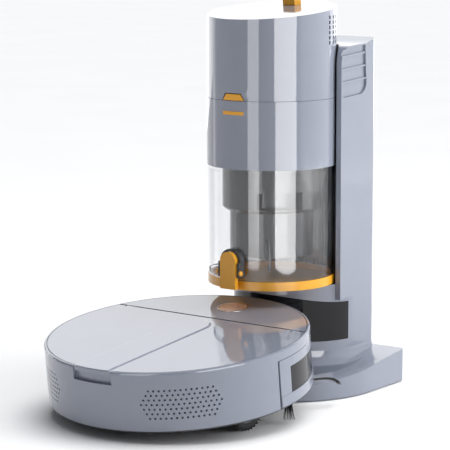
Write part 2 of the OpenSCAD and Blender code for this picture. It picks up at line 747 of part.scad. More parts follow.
// --- Robot ----------------------------------------------------------------------------------
module chassis() {
    ch = roll_r + chamber_gap;
    color([0.16, 0.17, 0.18]) in_robot() difference() {
        union() {
            // floor pan with a bevelled edge, and the inner wall
            difference() {
                union() {
                    cylinder(r1 = body_r - 5, r2 = body_r - 2, h = 2, $fn = 180);
                    translate([0, 0, 2]) cylinder(r = body_r - 2, h = 1.6, $fn = 180);
                    translate([0, 0, 3.6]) cylinder(r = inner_r, h = bumper_h - 2.8, $fn = 180);
                }
                translate([0, 0, 3]) cylinder(r = inner_r - chassis_wall, h = 80, $fn = 180);
            }
            // housings over the wheels and the brush roll
            for (s = [0, 1]) mirror([s, 0, 0]) intersection() {
                span([arm_in - 5, wheel_y - tyre_r - 7, 1],
                     [wheel_x + well_half + 2, arm_pivot[0] + 11, body_h - 13]);
                cylinder(r = inner_r - 1, h = 90);
            }
            span([-roll_half - 8, roll_y - ch - 2, 0.5], [roll_half + 8, roll_y + ch + 2, roll_z + ch + 2]);
            // caster and side brush sockets
            translate([0, caster_y, 1]) cylinder(r = 26.5, h = 15);
            translate([0, caster_y, 1]) cylinder(r = 9, h = 30);
            for (s = [-1, 1]) translate([s * side_brush[0], side_brush[1], 1]) cylinder(r = 13, h = 24);
        }
        for (s = [0, 1]) mirror([s, 0, 0]) {
            span([arm_in - 2, wheel_y - tyre_r - 5, -5], [wheel_x + well_half, wheel_y + tyre_r + 3, body_h - 15]);
            span([arm_in - 2, wheel_y, -5], [arm_out + 1.5, arm_pivot[0] + 9, arm_pivot[1] + 12]);
            translate([side_brush[0], side_brush[1], -1]) cylinder(r = 3 + running, h = 20);
        }
        // brush chamber with its throat into the dustbin
        rod(-roll_half - 6, roll_half + 6, roll_y, roll_z, ch);
        span([-roll_half - 6, roll_y - ch, -2], [roll_half + 6, roll_y + ch, roll_z]);
        span([-30, bin_front - 4, roll_z + 4], [30, roll_y - 10, roll_z + 18]);
        // caster pocket
        translate([0, caster_y, -1]) cylinder(r = caster_trail + caster_r + 2.5, h = 15.4);
        translate([0, caster_y, 5]) cylinder(r = 4 + running, h = 24);
        // battery bay
        span([-118, -96, -1], [-72 + 0.2, -62 - 7, 2.2]);
        // pockets of the charging pads
        for (s = [-1, 1]) translate([s * pad_x - 6, pad_y - 8, -1]) cube([12, 16, 2]);
    }
    // suspension pivot pins and brush roll stubs
    color([0.16, 0.17, 0.18]) in_robot() for (s = [0, 1]) mirror([s, 0, 0]) {
        rod(arm_in - 3, arm_out - 2, arm_pivot[0], arm_pivot[1], arm_pin_r);
        rod(roll_half - 5, roll_half + 7, roll_y, roll_z, 3);
    }
}
// Hexagonal patch of small holes through the rear wall, at an angle from the rear
module perforation(a) {
    for (row = [0:hole_rows - 1]) {
        n = hole_least + min(row, hole_rows - 1 - row);
        for (i = [0:n - 1])
            rotate([0, 0, 180 + a + (i - (n - 1) / 2) * hole_pitch])
                translate([0, body_r - skin - 4, hole_low + row * hole_row])
                    rotate([-90, 0, 0]) cylinder(r = hole_r, h = skin + 8, $fn = 16);
    }
}
module side_shell() {
    color([0.8, 0.82, 0.88]) in_robot() difference() {
        union() {
            // rear wall
            difference() {
                ring(body_r, body_r - skin, 3.6, bumper_h + 0.8);
                translate([-300, shell_end - 0.5 - bumper_travel, 0]) cube([600, 600, 200]);
            }
            // band all round, with a rounded upper edge
            rotate_extrude($fn = 180) union() {
                translate([body_r - skin, bumper_h + 0.7]) square([skin, band_h - 3]);
                translate([body_r - skin, bumper_h + 0.7]) square([skin - 3, band_h]);
                intersection() {
                    translate([body_r - 3, body_h - 3]) circle(3, $fn = 48);
                    translate([body_r - skin, body_h - 6]) square([skin, 6]);
                }
            }
            // inner ledge that carries the covers
            ring(body_r - skin + 0.01, inner_r - chassis_wall, bumper_h + 0.8, bumper_h + 3.2);
        }
        span([-notch_half, -body_r - 5, body_h - notch_depth], [notch_half, -body_r + 20, body_h + 20]);
        for (s = [-1, 1]) perforation(s * patch_at);
    }
    // pocket behind the finger notch
    color([0.8, 0.82, 0.88]) in_robot() intersection() {
        difference() {
            ring(body_r - skin + 0.5, inner_r + 0.5, body_h - notch_depth - 1.6, body_h - deck - 0.6);
            intersection() {
                ring(body_r, inner_r + 2, body_h - notch_depth, body_h);
                span([-notch_half, -body_r, 0], [notch_half, -body_r / 2, 200]);
            }
        }
        span([-notch_half - 1.6, -body_r, 0], [notch_half + 1.6, -body_r / 2, 200]);
    }
}
module bumper() {
    color([0.86, 0.88, 0.92]) in_robot() difference() {
        union() {
            difference() {
                union() {
                    ring(body_r, body_r - skin, bumper_low, bumper_h);
                    ring(body_r + 0.8, body_r - skin, bumper_low + 1, 20.4);
                }
                ring(body_r + 3, body_r - 2.2, window_band[0], bumper_h - window_band[1]);
            }
            // back of the window's seat
            ring(body_r - 2.2, body_r - skin, 18, bumper_h - 12);
        }
        translate([-300, shell_end - 600, 0]) cube([600, 600, 200]);
    }
    // frame posts at the window's ends
    color([0.86, 0.88, 0.92]) in_robot() intersection() {
        ring(body_r, body_r - 2.2, window_band[0], bumper_h - window_band[1]);
        span([-300, shell_end, 0], [300, window_end, 100]);
    }
}
module bumper_window() {
    color([0.03, 0.03, 0.05]) in_robot() intersection() {
        ring(body_r - 0.3, body_r - 2.2, window_band[0], bumper_h - window_band[1]);
        span([-300, window_end, 0], [300, 300, 100]);
    }
}
module top_panel() {
    edge = hinge_y + 2.3;
    color([0.84, 0.86, 0.9]) in_robot() difference() {
        union() {
            translate([0, 0, body_h - deck]) linear_extrude(deck) intersection() {
                circle(lid_r, $fn = 180);
                translate([-300, edge]) square([600, 400]);
            }
            translate([0, button_y, 0]) ring(27, button_r + 2.9, body_h - 16, body_h - deck + 0.01);
            for (s = [-1, 1]) span([s * (hinge_x + 8) - 3, hinge_y - 3, body_h - 12],
                                   [s * (hinge_x + 8) + 3, edge + 6, body_h - 0.4]);
        }
        for (s = [-1, 1]) rod(s * (hinge_x + 8) - 4, s * (hinge_x + 8) + 4, hinge_y, hinge_z, hinge_pin_r);
        translate([0, button_y, body_h - 30]) cylinder(r = button_r + 0.5 + 2.4, h = 60);
    }
}
module button_ring() {
    color([0.75, 0.77, 0.8]) in_robot() translate([0, button_y, 0])
        ring(button_r + 0.5 + 2.4, button_r + 0.5, body_h - 6, body_h + 0.3);
}
module power_button() {
    color([0.78, 0.47, 0.24]) in_robot() translate([0, button_y, 0]) difference() {
        translate([0, 0, body_h - 5]) cylinder(r = button_r, h = 5.2);
        translate([0, 0, body_h - 6]) cylinder(r = button_r - 2, h = 3.4);
    }
}
module rear_lid() {
    color([0.84, 0.86, 0.9]) in_robot() difference() {
        union() {
            translate([0, 0, body_h - deck]) linear_extrude(deck) union() {
                intersection() {
                    circle(lid_r, $fn = 180);
                    translate([-300, -400]) square([600, 400 + hinge_y - 0.9]);
                }
                intersection() {
                    translate([-notch_half + 0.6, -body_r]) square([2 * notch_half - 1.2, 20]);
                    circle(body_r - lid_lip, $fn = 180);
                }
            }
            // lip to lift the lid by
            intersection() {
                ring(body_r - lid_lip, inner_r + 2.6, body_h - 5.5, body_h - deck + 0.01);
                span([0.6 - notch_half, -body_r, 0], [notch_half - 0.6, -body_r / 2, 200]);
            }
            // raised strip with a round end
            translate([0, 0, body_h - 0.5]) linear_extrude(1.7) intersection() {
                union() {
                    translate([-25, -body_r]) square([50, body_r + hinge_y - 40]);
                    translate([0, hinge_y - 40]) circle(25);
                }
                circle(body_r - 1.5, $fn = 180);
            }
            for (s = [-1, 1]) rod(s * hinge_x - 4, s * hinge_x + 4, hinge_y, hinge_z, hinge_r);
        }
        for (s = [-1, 1]) {
            rod(s * hinge_x - 9, s * hinge_x + 9, hinge_y, hinge_z, hinge_pin_r + running);
            span([s * (hinge_x + 8) - 3.5, hinge_y - 3.6, body_h - 20],
                 [s * (hinge_x + 8) + 3.5, hinge_y + 5, body_h + 9]);
        }
    }
}
module lid_pins() {
    color("silver") in_robot() for (s = [0, 1]) mirror([s, 0, 0])
        rod(hinge_x - 4, hinge_x + 11, hinge_y, hinge_z, hinge_pin_r);
}
module dustbin() {
    color([0.55, 0.57, 0.6, 0.6]) in_robot() difference() {
        span([-bin_half, bin_back, bin_low], [bin_half, bin_front, bin_top]);
        span([-bin_half + 2, bin_back + 24, bin_low + 2], [bin_half - 2, bin_front - 2, bin_top + 1]);
        span([-bin_half + 8, bin_back - 1, bin_low + 8], [bin_half - 8, bin_back + 20, bin_top - 8]);
        span([-28, bin_front - 5, roll_z + 5], [28, bin_front + 5, roll_z + 17]);
    }
}
module bin_filter() {
    color([0.92, 0.92, 0.9]) in_robot()
        span([-bin_half + 8.2, bin_back + 1, bin_low + 8.2], [bin_half - 8.2, bin_back + 19.8, bin_top - 8.2]);
}
module suction_fan() {
    color([0.2, 0.2, 0.22]) in_robot() translate([90, -98, 4]) difference() {
        cylinder(r = 24, h = 40);
        translate([0, 0, 20]) cylinder(r = 14, h = 30);
        for (i = [0:7]) rotate([0, 0, i * 45]) translate([20, 0, 30]) cylinder(r = 3, h = 20, $fn = 32);
    }
}
module battery() {
    color([0.12, 0.2, 0.35]) in_robot() span([-117, -95, 4], [-73, -70, 44]);
}
module battery_hatch() {
    color([0.2, 0.21, 0.22]) in_robot() span([-117.6, -95.6, 0.2], [-72.4, -69.4, 2.1]);
}
module robot_board() {
    color([0.05, 0.3, 0.15]) in_robot() union() {
        span([-70, 92, 46], [70, 140, 47.6]);
        span([-50, 100, 47.6], [-26, 124, 51]);
        span([30, 104, 47.6], [56, 120, 50]);
        for (s = [-1, 1]) translate([s * 60, 130, 31]) cylinder(r = 3, h = 15, $fn = 32);
    }
}
module brush_roll() {
    color([0.7, 0.25, 0.1]) in_robot() translate([-roll_half + 6, roll_y, roll_z]) rotate([0, 90, 0]) difference() {
        union() {
            cylinder(r = roll_r - 6, h = 2 * roll_half - 12);
            for (i = [0:5]) rotate([0, 0, i * 60]) translate([-1.5, 0, 0])
                cube([3, roll_r - 0.2, 2 * roll_half - 12]);
        }
        translate([0, 0, -1]) cylinder(r = 3 + running, h = 9, $fn = 48);
        translate([0, 0, 2 * roll_half - 20]) cylinder(r = 3 + running, h = 9, $fn = 48);
    }
}
module brush_guard() {
    y0 = roll_y - roll_r - chamber_gap;
    y1 = roll_y + roll_r + chamber_gap;
    color([0.25, 0.26, 0.28]) in_robot() union() {
        span([-roll_half - 5.5, y0 - 1.5, -1.8], [roll_half + 5.5, y0, 0]);
        span([-roll_half - 5.5, y1, -1.8], [roll_half + 5.5, y1 + 1.5, 0]);
        for (x = [-60, -20, 20, 60]) span([x - 1, y0 - 1, -4.9], [x + 1, y1 + 1, -3.6]);
        for (x = [-60, -20, 20, 60], y = [y0 - 1, y1]) span([x - 1, y, -3.7], [x + 1, y + 1, -1.7]);
    }
}
module side_brush_at(s) {
    color([0.1, 0.1, 0.1]) in_robot() translate([s * side_brush[0], side_brush[1], 0]) union() {
        translate([0, 0, -4.6]) cylinder(r = 10, h = 4);
        translate([0, 0, -1]) cylinder(r = 3, h = 17, $fn = 48);
        for (i = [0:2]) rotate([0, 0, i * 120 - 57 * s + (s < 0 ? 180 : 0)]) rotate([0, 5, 0])
            translate([7, -2.5, -3.8]) cube([tuft_r - 7, 5, 1.8]);
    }
}
module side_brush_left() { side_brush_at(-1); }
module side_brush_right() { side_brush_at(1); }
module wheel_arm_at(s) {
    bar = arm_pivot - [wheel_y, wheel_z];
    color([0.3, 0.3, 0.32]) in_robot() mirror([s > 0 ? 0 : 1, 0, 0]) difference() {
        union() {
            rod(arm_in, arm_out, arm_pivot[0], arm_pivot[1], 7);
            rod(arm_in, arm_out, wheel_y, wheel_z, 14);
            translate([arm_in + 1, wheel_y, wheel_z]) rotate([atan2(bar[1], bar[0]), 0, 0])
                translate([0, 0, -5]) cube([arm_out - arm_in - 2, norm(bar), 10]);
            rod(arm_out - 2, wheel_x + tyre_w / 2, wheel_y, wheel_z, axle_r);
        }
        rod(arm_in - 1, arm_out + 1, arm_pivot[0], arm_pivot[1], arm_pin_r + running);
    }
}
module wheel_arm_left() { wheel_arm_at(-1); }
module wheel_arm_right() { wheel_arm_at(1); }
module wheel_at(s) {
    color([0.08, 0.08, 0.08]) in_robot() translate([s * wheel_x, wheel_y, wheel_z]) rotate([0, 90, 0]) difference() {
        union() {
            cylinder(r = tyre_r - 1.5, h = tyre_w, center = true, $fn = 96);
            for (z = [-1, 0, 1]) translate([0, 0, z * (tyre_w / 2 - 3)])
                cylinder(r = tyre_r, h = 5, center = true, $fn = 96);
        }
        cylinder(r = axle_r + running, h = tyre_w + 2, center = true, $fn = 48);
        for (z = [-1, 1]) translate([0, 0, z * (tyre_w / 2)]) difference() {
            cylinder(r = tyre_r - 8, h = 8, center = true);
            cylinder(r = 8, h = 10, center = true);
        }
    }
}
module wheel_left() { wheel_at(-1); }
module wheel_right() { wheel_at(1); }
module caster_fork() {
    color([0.2, 0.2, 0.22]) in_robot() difference() {
        union() {
            translate([0, caster_y, 11]) cylinder(r = 11, h = 3);
            translate([0, caster_y, 11]) cylinder(r = 4, h = 17, $fn = 48);
            for (s = [-1, 1]) span([s * 8.4 - 1.4, caster_y - caster_trail - 5, caster_z - 4],
                                   [s * 8.4 + 1.4, caster_y - caster_trail + 8, 11.1]);
            translate([-9.8, caster_y - caster_trail - 5, 11]) cube([19.6, 12, 2.9]);
        }
        rod(-12, 12, caster_y - caster_trail, caster_z, 1.5);
    }
}
module caster_wheel() {
    color([0.85, 0.85, 0.85]) in_robot() union() {
        rod(-6.4, 6.4, caster_y - caster_trail, caster_z, caster_r);
        rod(-9.6, 9.6, caster_y - caster_trail, caster_z, 1.45);
    }
}
module charging_pads() {
    color([0.85, 0.7, 0.4]) in_robot() for (s = [-1, 1])
        translate([s * pad_x - 5.8, pad_y - 7.8, -0.2]) cube([11.6, 15.6, 1.2]);
}

base_plate();
base_cover();
rubber_feet();
base_screws();
column_housing();
column_liner();
back_cover();
front_window();
louvre_panels();
louvre_bars();
dust_duct();
port_seal();
dock_contacts();
power_supply();
control_board();
mains_inlet();
collar();
marker_bar();
clear_cup();
shroud_upper();
shroud_lower();
cyclone_cones();
cup_filter();
bottom_flap();
flap_seal();
flap_pin();
latch_bracket();
cup_latch();
latch_pin();
head_shell();
fan_motor();
fan_impeller();
top_button();
release_button();
chassis();
side_shell();
bumper();
bumper_window();
top_panel();
rear_lid();
lid_pins();
power_button();
button_ring();
dustbin();
bin_filter();
suction_fan();
battery();
battery_hatch();
robot_board();
brush_roll();
brush_guard();
side_brush_left();
side_brush_right();
wheel_arm_left();
wheel_arm_right();
wheel_left();
wheel_right();
caster_fork();
caster_wheel();
charging_pads();
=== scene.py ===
"""Looks of the robot vacuum and its dock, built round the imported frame. Lengths are in metres."""

import json
import math
import random

import bmesh
import bpy
from mathutils import Matrix, Quaternion, Vector

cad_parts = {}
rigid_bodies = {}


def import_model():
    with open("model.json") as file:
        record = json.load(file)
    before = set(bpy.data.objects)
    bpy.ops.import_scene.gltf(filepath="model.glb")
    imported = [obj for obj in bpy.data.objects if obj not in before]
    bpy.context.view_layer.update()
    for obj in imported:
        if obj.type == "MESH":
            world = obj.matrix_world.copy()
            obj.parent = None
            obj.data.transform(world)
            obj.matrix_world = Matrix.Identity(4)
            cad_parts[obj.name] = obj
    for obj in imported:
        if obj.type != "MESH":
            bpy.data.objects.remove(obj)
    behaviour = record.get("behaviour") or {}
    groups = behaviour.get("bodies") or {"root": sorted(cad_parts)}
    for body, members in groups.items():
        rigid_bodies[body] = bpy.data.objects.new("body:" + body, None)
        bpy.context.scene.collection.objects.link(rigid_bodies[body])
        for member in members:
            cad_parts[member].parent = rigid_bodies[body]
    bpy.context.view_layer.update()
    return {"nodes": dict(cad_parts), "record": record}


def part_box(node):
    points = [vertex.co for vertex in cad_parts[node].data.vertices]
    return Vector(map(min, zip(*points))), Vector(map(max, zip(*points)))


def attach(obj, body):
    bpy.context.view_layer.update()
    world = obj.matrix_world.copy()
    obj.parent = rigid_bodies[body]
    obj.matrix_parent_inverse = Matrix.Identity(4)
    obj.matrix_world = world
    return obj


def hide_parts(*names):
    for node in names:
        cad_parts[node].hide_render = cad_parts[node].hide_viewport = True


for left_over in list(bpy.data.objects):
    bpy.data.objects.remove(left_over)
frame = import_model()
RECORD = frame["record"]
NODES = frame["nodes"]
JOINTS = {j["name"]: j for j in RECORD["behaviour"]["joints"]}

MM = 0.001

# The robot is parked nose-up, so its own frame is turned about X. Its joints give the frame.
ROBOT_UP = Vector(JOINTS["caster_swivel"]["axis"]).normalized()
ROBOT_TILT = math.atan2(-ROBOT_UP.y, ROBOT_UP.z)
CASTER_AHEAD = 124 * MM
ROBOT_FORWARD = Vector((0, ROBOT_UP.z, -ROBOT_UP.y))
ROBOT_ORIGIN = Vector(JOINTS["caster_swivel"]["pos_m"]) - ROBOT_FORWARD * CASTER_AHEAD
ROBOT = Matrix.Translation(ROBOT_ORIGIN) @ Matrix.Rotation(ROBOT_TILT, 4, "X")
ROBOT_H = 77.2 * MM
BUTTON_R, BUTTON_AHEAD = 18.7 * MM, 119 * MM
CUP_LOW, CUP_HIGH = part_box("clear_cup")
CUP_Y = (CUP_LOW.y + CUP_HIGH.y) / 2
CUP_R = CUP_HIGH.x


# --- Camera, floor and lights ---------------------------------------------------------------
CAMERA_AT = Vector((1.5657, -2.0232, 0.6351))
CAMERA_TURN = math.radians(37.40)
CAMERA_PITCH = math.radians(8.924)
CAMERA_ROLL = math.radians(-0.18)
CAMERA_LENS = 159.8
SENSOR = 36.0
FLOOR_HALF = 30


def make_camera():
    data = bpy.data.cameras.new("camera")
    data.lens, data.sensor_width = CAMERA_LENS, SENSOR
    data.clip_start, data.clip_end = 0.1, 80
    camera = bpy.data.objects.new("camera", data)
    bpy.context.scene.collection.objects.link(camera)
    level = math.cos(CAMERA_PITCH)
    look = Vector((-math.sin(CAMERA_TURN) * level, math.cos(CAMERA_TURN) * level, -math.sin(CAMERA_PITCH)))
    camera.rotation_mode = "QUATERNION"
    camera.rotation_quaternion = look.to_track_quat("-Z", "Y") @ Quaternion((0, 0, 1), CAMERA_ROLL)
    camera.location = CAMERA_AT
    bpy.context.scene.camera = camera


def around(turn, height, distance):
    """A point at an angle to the right of the camera's side of the object."""
    a = math.radians(turn)
    side = Vector((math.cos(CAMERA_TURN), math.sin(CAMERA_TURN), 0))
    toward = Vector((math.sin(CAMERA_TURN), -math.cos(CAMERA_TURN), 0))
    return Vector((0, 0.05, height)) + (toward * math.cos(a) + side * math.sin(a)) * distance


def softbox(name, at, aim, size, radiance, glossy=True, diffuse=True):
    """A rectangular light that the camera doesn't see. The radiance is what its face shows."""
    data = bpy.data.lights.new(name, "AREA")
    data.shape = "RECTANGLE"
    data.size, data.size_y = size
    data.energy = radiance * math.pi * size[0] * size[1]
    light = bpy.data.objects.new(name, data)
    bpy.context.scene.collection.objects.link(light)
    light.location = at
    light.rotation_mode = "QUATERNION"
    light.rotation_quaternion = (Vector(aim) - Vector(at)).to_track_quat("-Z", "Y")
    light.visible_camera = False
    light.visible_glossy = glossy
    light.visible_diffuse = diffuse
    return light


def strip(name, first, last, high, distance, radiance):
    """A tall softbox from the floor up that fills the given angles, seen only in reflections."""
    width = 2 * distance * math.tan(math.radians(last - first) / 2)
    middle = high / 2
    at = around((first + last) / 2, middle, distance)
    return softbox(name, at, around(0, middle, 0), (width, high), radiance, diffuse=False)


def make_sun():
    """Even light over the whole floor, soft enough that its shadow fades near the object."""
    data = bpy.data.lights.new("sky", "SUN")
    data.energy = 2.6
    data.angle = math.radians(55)
    light = bpy.data.objects.new("sky", data)
    bpy.context.scene.collection.objects.link(light)
    light.rotation_mode = "QUATERNION"
    light.rotation_quaternion = (Vector((0, 0.05, 0)) - around(125, 2.6, 0.8)).to_track_quat("-Z", "Y")
    light.visible_glossy = False


# Strips by angle to the right of the camera's side: from, to, height, distance, radiance
STRIPS = {
    "key_strip": (8, 46, 1.1, 0.95, 6.6),
    "front_strip": (-43, -22, 1.1, 0.95, 3.6),
    "edge_strip": (-128, -121, 1.1, 0.95, 0.9),
    "right_wall": (52, 118, 2.4, 2.0, 0.62),
    "back_wall": (122, 232, 3.4, 3.2, 1.5),
}


def make_lights():
    make_sun()
    softbox("right_fill", around(80, 0.9, 2.2), (0, 0.05, 0.2), (1.6, 1.8), 4.2, glossy=False)
    for name, place in STRIPS.items():
        strip(name, *place)


def make_world():
    world = bpy.data.worlds.new("studio")
    bpy.context.scene.world = world
    world.use_nodes = True
    tree = world.node_tree
    tree.nodes.clear()
    path = tree.nodes.new("ShaderNodeLightPath")
    room = tree.nodes.new("ShaderNodeBackground")
    room.inputs["Color"].default_value = (0.93, 0.95, 1.0, 1)
    room.inputs["Strength"].default_value = 0.2
    seen = tree.nodes.new("ShaderNodeBackground")
    seen.inputs["Color"].default_value = (1, 1, 1, 1)
    mix = tree.nodes.new("ShaderNodeMixShader")
    out = tree.nodes.new("ShaderNodeOutputWorld")
    tree.links.new(path.outputs["Is Camera Ray"], mix.inputs["Fac"])
    tree.links.new(room.outputs[0], mix.inputs[1])
    tree.links.new(seen.outputs[0], mix.inputs[2])
    tree.links.new(mix.outputs[0], out.inputs["Surface"])
    bpy.context.scene.view_settings.view_transform = "Standard"


# --- Materials ------------------------------------------------------------------------------
def new_material(name):
    material = bpy.data.materials.new(name)
    material.use_nodes = True
    tree = material.node_tree
    shader = tree.nodes["Principled BSDF"]
    return material, tree, shader


def noise(tree, scale, detail=3.0, stretch=None, distortion=0.0):
    coords = tree.nodes.new("ShaderNodeTexCoord")
    node = tree.nodes.new("ShaderNodeTexNoise")
    node.inputs["Scale"].default_value = scale
    node.inputs["Detail"].default_value = detail
    node.inputs["Distortion"].default_value = distortion
    if stretch:
        mapping = tree.nodes.new("ShaderNodeMapping")
        mapping.inputs["Scale"].default_value = stretch
        tree.links.new(coords.outputs["Object"], mapping.inputs["Vector"])
        tree.links.new(mapping.outputs["Vector"], node.inputs["Vector"])
    else:
        tree.links.new(coords.outputs["Object"], node.inputs["Vector"])
    return node.outputs["Fac"]


def shades(tree, factor, dark, light, low=0.35, high=0.65):
    ramp = tree.nodes.new("ShaderNodeValToRGB")
    ramp.color_ramp.elements[0].position = low
    ramp.color_ramp.elements[1].position = high
    ramp.color_ramp.elements[0].color = (*dark, 1)
    ramp.color_ramp.elements[1].color = (*light, 1)
    tree.links.new(factor, ramp.inputs["Fac"])
    return ramp.outputs["Color"]


def spread(tree, factor, low, high):
    node = tree.nodes.new("ShaderNodeMapRange")
    node.inputs["To Min"].default_value = low
    node.inputs["To Max"].default_value = high
    tree.links.new(factor, node.inputs["Value"])
    return node.outputs["Result"]


def bump(tree, shader, height, strength, distance):
    node = tree.nodes.new("ShaderNodeBump")
    node.inputs["Strength"].default_value = strength
    node.inputs["Distance"].default_value = distance
    tree.links.new(height, node.inputs["Height"])
    tree.links.new(node.outputs["Normal"], shader.inputs["Normal"])
    return node


def plastic(name, colour, vary=0.04, rough=(0.1, 0.16), grain=900, depth=0.000004, coat=0.0, level=0.5):
    """Moulded plastic: faint flow clouds in the colour, uneven polish, and a fine grain."""
    material, tree, shader = new_material(name)
    dark = tuple(c * (1 - vary) for c in colour)
    light = tuple(min(1, c * (1 + vary)) for c in colour)
    cloud = noise(tree, 14, detail=4, distortion=0.4)
    tree.links.new(shades(tree, cloud, dark, light), shader.inputs["Base Color"])
    tree.links.new(spread(tree, noise(tree, 60), *rough), shader.inputs["Roughness"])
    bump(tree, shader, noise(tree, grain, detail=2), 1.0, depth)
    shader.inputs["Specular IOR Level"].default_value = level
    shader.inputs["Coat Weight"].default_value = coat
    shader.inputs["Coat Roughness"].default_value = 0.03
    return material


def metal(name, colour):
    """Machined metal with fine lines."""
    material, tree, shader = new_material(name)
    lines = noise(tree, 300, detail=3, stretch=(1, 1, 30))
    dark = tuple(c * 0.82 for c in colour)
    tree.links.new(shades(tree, lines, dark, colour), shader.inputs["Base Color"])
    tree.links.new(spread(tree, lines, 0.18, 0.3), shader.inputs["Roughness"])
    bump(tree, shader, lines, 0.6, 0.00001)
    shader.inputs["Metallic"].default_value = 1.0
    return material


def spun_copper():
    """Copper turned on a lathe: rings about the piece's own axis, stretched highlights."""
    material, tree, shader = new_material("spun_copper")
    coords = tree.nodes.new("ShaderNodeTexCoord")
    rings = tree.nodes.new("ShaderNodeTexWave")
    rings.wave_type, rings.rings_direction = "RINGS", "Z"
    rings.inputs["Scale"].default_value = 420
    rings.inputs["Distortion"].default_value = 0.3
    tree.links.new(coords.outputs["Object"], rings.inputs["Vector"])
    colour = shades(tree, rings.outputs["Fac"], (0.80, 0.55, 0.45), (1.0, 0.84, 0.75), 0.1, 0.9)
    tree.links.new(colour, shader.inputs["Base Color"])
    tree.links.new(spread(tree, rings.outputs["Fac"], 0.22, 0.32), shader.inputs["Roughness"])
    bump(tree, shader, rings.outputs["Fac"], 0.5, 0.00002)
    tangent = tree.nodes.new("ShaderNodeTangent")
    tangent.direction_type, tangent.axis = "RADIAL", "Z"
    tree.links.new(tangent.outputs["Tangent"], shader.inputs["Tangent"])
    shader.inputs["Metallic"].default_value = 1.0
    shader.inputs["Anisotropic"].default_value = 0.85
    return material


def clear_plastic():
    """Thin clear moulding: see-through face on, mirror-like edge on, with faint moulding haze."""
    material, tree, shader = new_material("clear_plastic")
    tree.nodes.remove(shader)
    out = tree.nodes["Material Output"]
    gloss = tree.nodes.new("ShaderNodeBsdfGlossy")
    gloss.inputs["Color"].default_value = (1, 1, 1, 1)
    see = tree.nodes.new("ShaderNodeBsdfTransparent")
    haze = noise(tree, 22, detail=3, stretch=(1, 1, 0.3))
    tree.links.new(shades(tree, haze, (0.955, 0.96, 0.965), (0.98, 0.983, 0.987)), see.inputs["Color"])
    tree.links.new(spread(tree, haze, 0.02, 0.06), gloss.inputs["Roughness"])
    # Schlick's rise from face on to edge on, the same from inside and outside
    facing = tree.nodes.new("ShaderNodeLayerWeight")
    facing.inputs["Blend"].default_value = 0.5
    power = tree.nodes.new("ShaderNodeMath")
    power.operation = "POWER"
    power.inputs[1].default_value = 5
    rise = tree.nodes.new("ShaderNodeMath")
    rise.operation = "MULTIPLY_ADD"
    rise.inputs[1].default_value, rise.inputs[2].default_value = 0.96, 0.04
    tree.links.new(facing.outputs["Facing"], power.inputs[0])
    tree.links.new(power.outputs[0], rise.inputs[0])
    mix = tree.nodes.new("ShaderNodeMixShader")
    tree.links.new(rise.outputs[0], mix.inputs["Fac"])
    tree.links.new(see.outputs[0], mix.inputs[1])
    tree.links.new(gloss.outputs[0], mix.inputs[2])
    tree.links.new(mix.outputs[0], out.inputs["Surface"])
    return material


def rubber():
    return plastic("rubber", (0.018, 0.018, 0.02), vary=0.25, rough=(0.55, 0.8), grain=2500, depth=0.00004)


def cloth(name, colour, weave=1400, depth=0.0001):
    """Pleated or woven filter paper and plush."""
    material, tree, shader = new_material(name)
    fibre = noise(tree, weave, detail=4, stretch=(1, 1, 0.35))
    dark = tuple(c * 0.7 for c in colour)
    tree.links.new(shades(tree, fibre, dark, colour), shader.inputs["Base Color"])
    bump(tree, shader, fibre, 0.8, depth)
    shader.inputs["Roughness"].default_value = 0.9
    shader.inputs["Sheen Weight"].default_value = 0.3
    return material


def board():
    """Circuit board: solder mask with copper tracks showing through."""
    material, tree, shader = new_material("board")
    coords = tree.nodes.new("ShaderNodeTexCoord")
    tracks = tree.nodes.new("ShaderNodeTexBrick")
    tracks.inputs["Scale"].default_value = 90
    tracks.inputs["Mortar Size"].default_value = 0.04
    tracks.inputs["Color1"].default_value = (0.01, 0.10, 0.04, 1)
    tracks.inputs["Color2"].default_value = (0.01, 0.13, 0.05, 1)
    tracks.inputs["Mortar"].default_value = (0.05, 0.26, 0.09, 1)
    tree.links.new(coords.outputs["Object"], tracks.inputs["Vector"])
    tree.links.new(tracks.outputs["Color"], shader.inputs["Base Color"])
    tree.links.new(spread(tree, noise(tree, 200), 0.25, 0.4), shader.inputs["Roughness"])
    return material


def floor_material():
    material, tree, shader = new_material("floor")
    tree.links.new(shades(tree, noise(tree, 3), (0.955, 0.955, 0.96), (0.97, 0.97, 0.975)),
                   shader.inputs["Base Color"])
    tree.links.new(spread(tree, noise(tree, 8), 0.5, 0.6), shader.inputs["Roughness"])
    shader.inputs["Specular IOR Level"].default_value = 0.0
    return material


SHELL_COLOUR = (0.265, 0.288, 0.352)


def make_materials():
    return {
        "grey_shell": plastic("grey_shell", SHELL_COLOUR, vary=0.02, rough=(0.05, 0.09), coat=0.35),
        "dark_trim": plastic("dark_trim", (0.035, 0.037, 0.042), vary=0.1, rough=(0.35, 0.5), depth=0.00001),
        "black_gloss": plastic("black_gloss", (0.005, 0.005, 0.007), vary=0.2, rough=(0.05, 0.08),
                               level=0.35),
        "orange": plastic("orange", (0.92, 0.42, 0.02), vary=0.04, rough=(0.16, 0.24)),
        "clear": clear_plastic(),
        "smoke": plastic("smoke", (0.018, 0.018, 0.022), vary=0.06, rough=(0.1, 0.18)),
        "copper": spun_copper(),
        "steel": metal("steel", (0.62, 0.62, 0.64)),
        "gold_contact": metal("gold_contact", (0.83, 0.62, 0.30)),
        "rubber": rubber(),
        "board": board(),
        "filter": cloth("filter", (0.78, 0.76, 0.70)),
        "bristle": plastic("bristle", (0.012, 0.012, 0.014), vary=0.3, rough=(0.3, 0.45)),
        "roll_plush": cloth("roll_plush", (0.42, 0.10, 0.04), weave=900, depth=0.0004),
        "battery_wrap": plastic("battery_wrap", (0.02, 0.06, 0.2), vary=0.1, rough=(0.2, 0.3)),
        "fan_grey": plastic("fan_grey", (0.12, 0.12, 0.13), vary=0.08, rough=(0.3, 0.42)),
    }


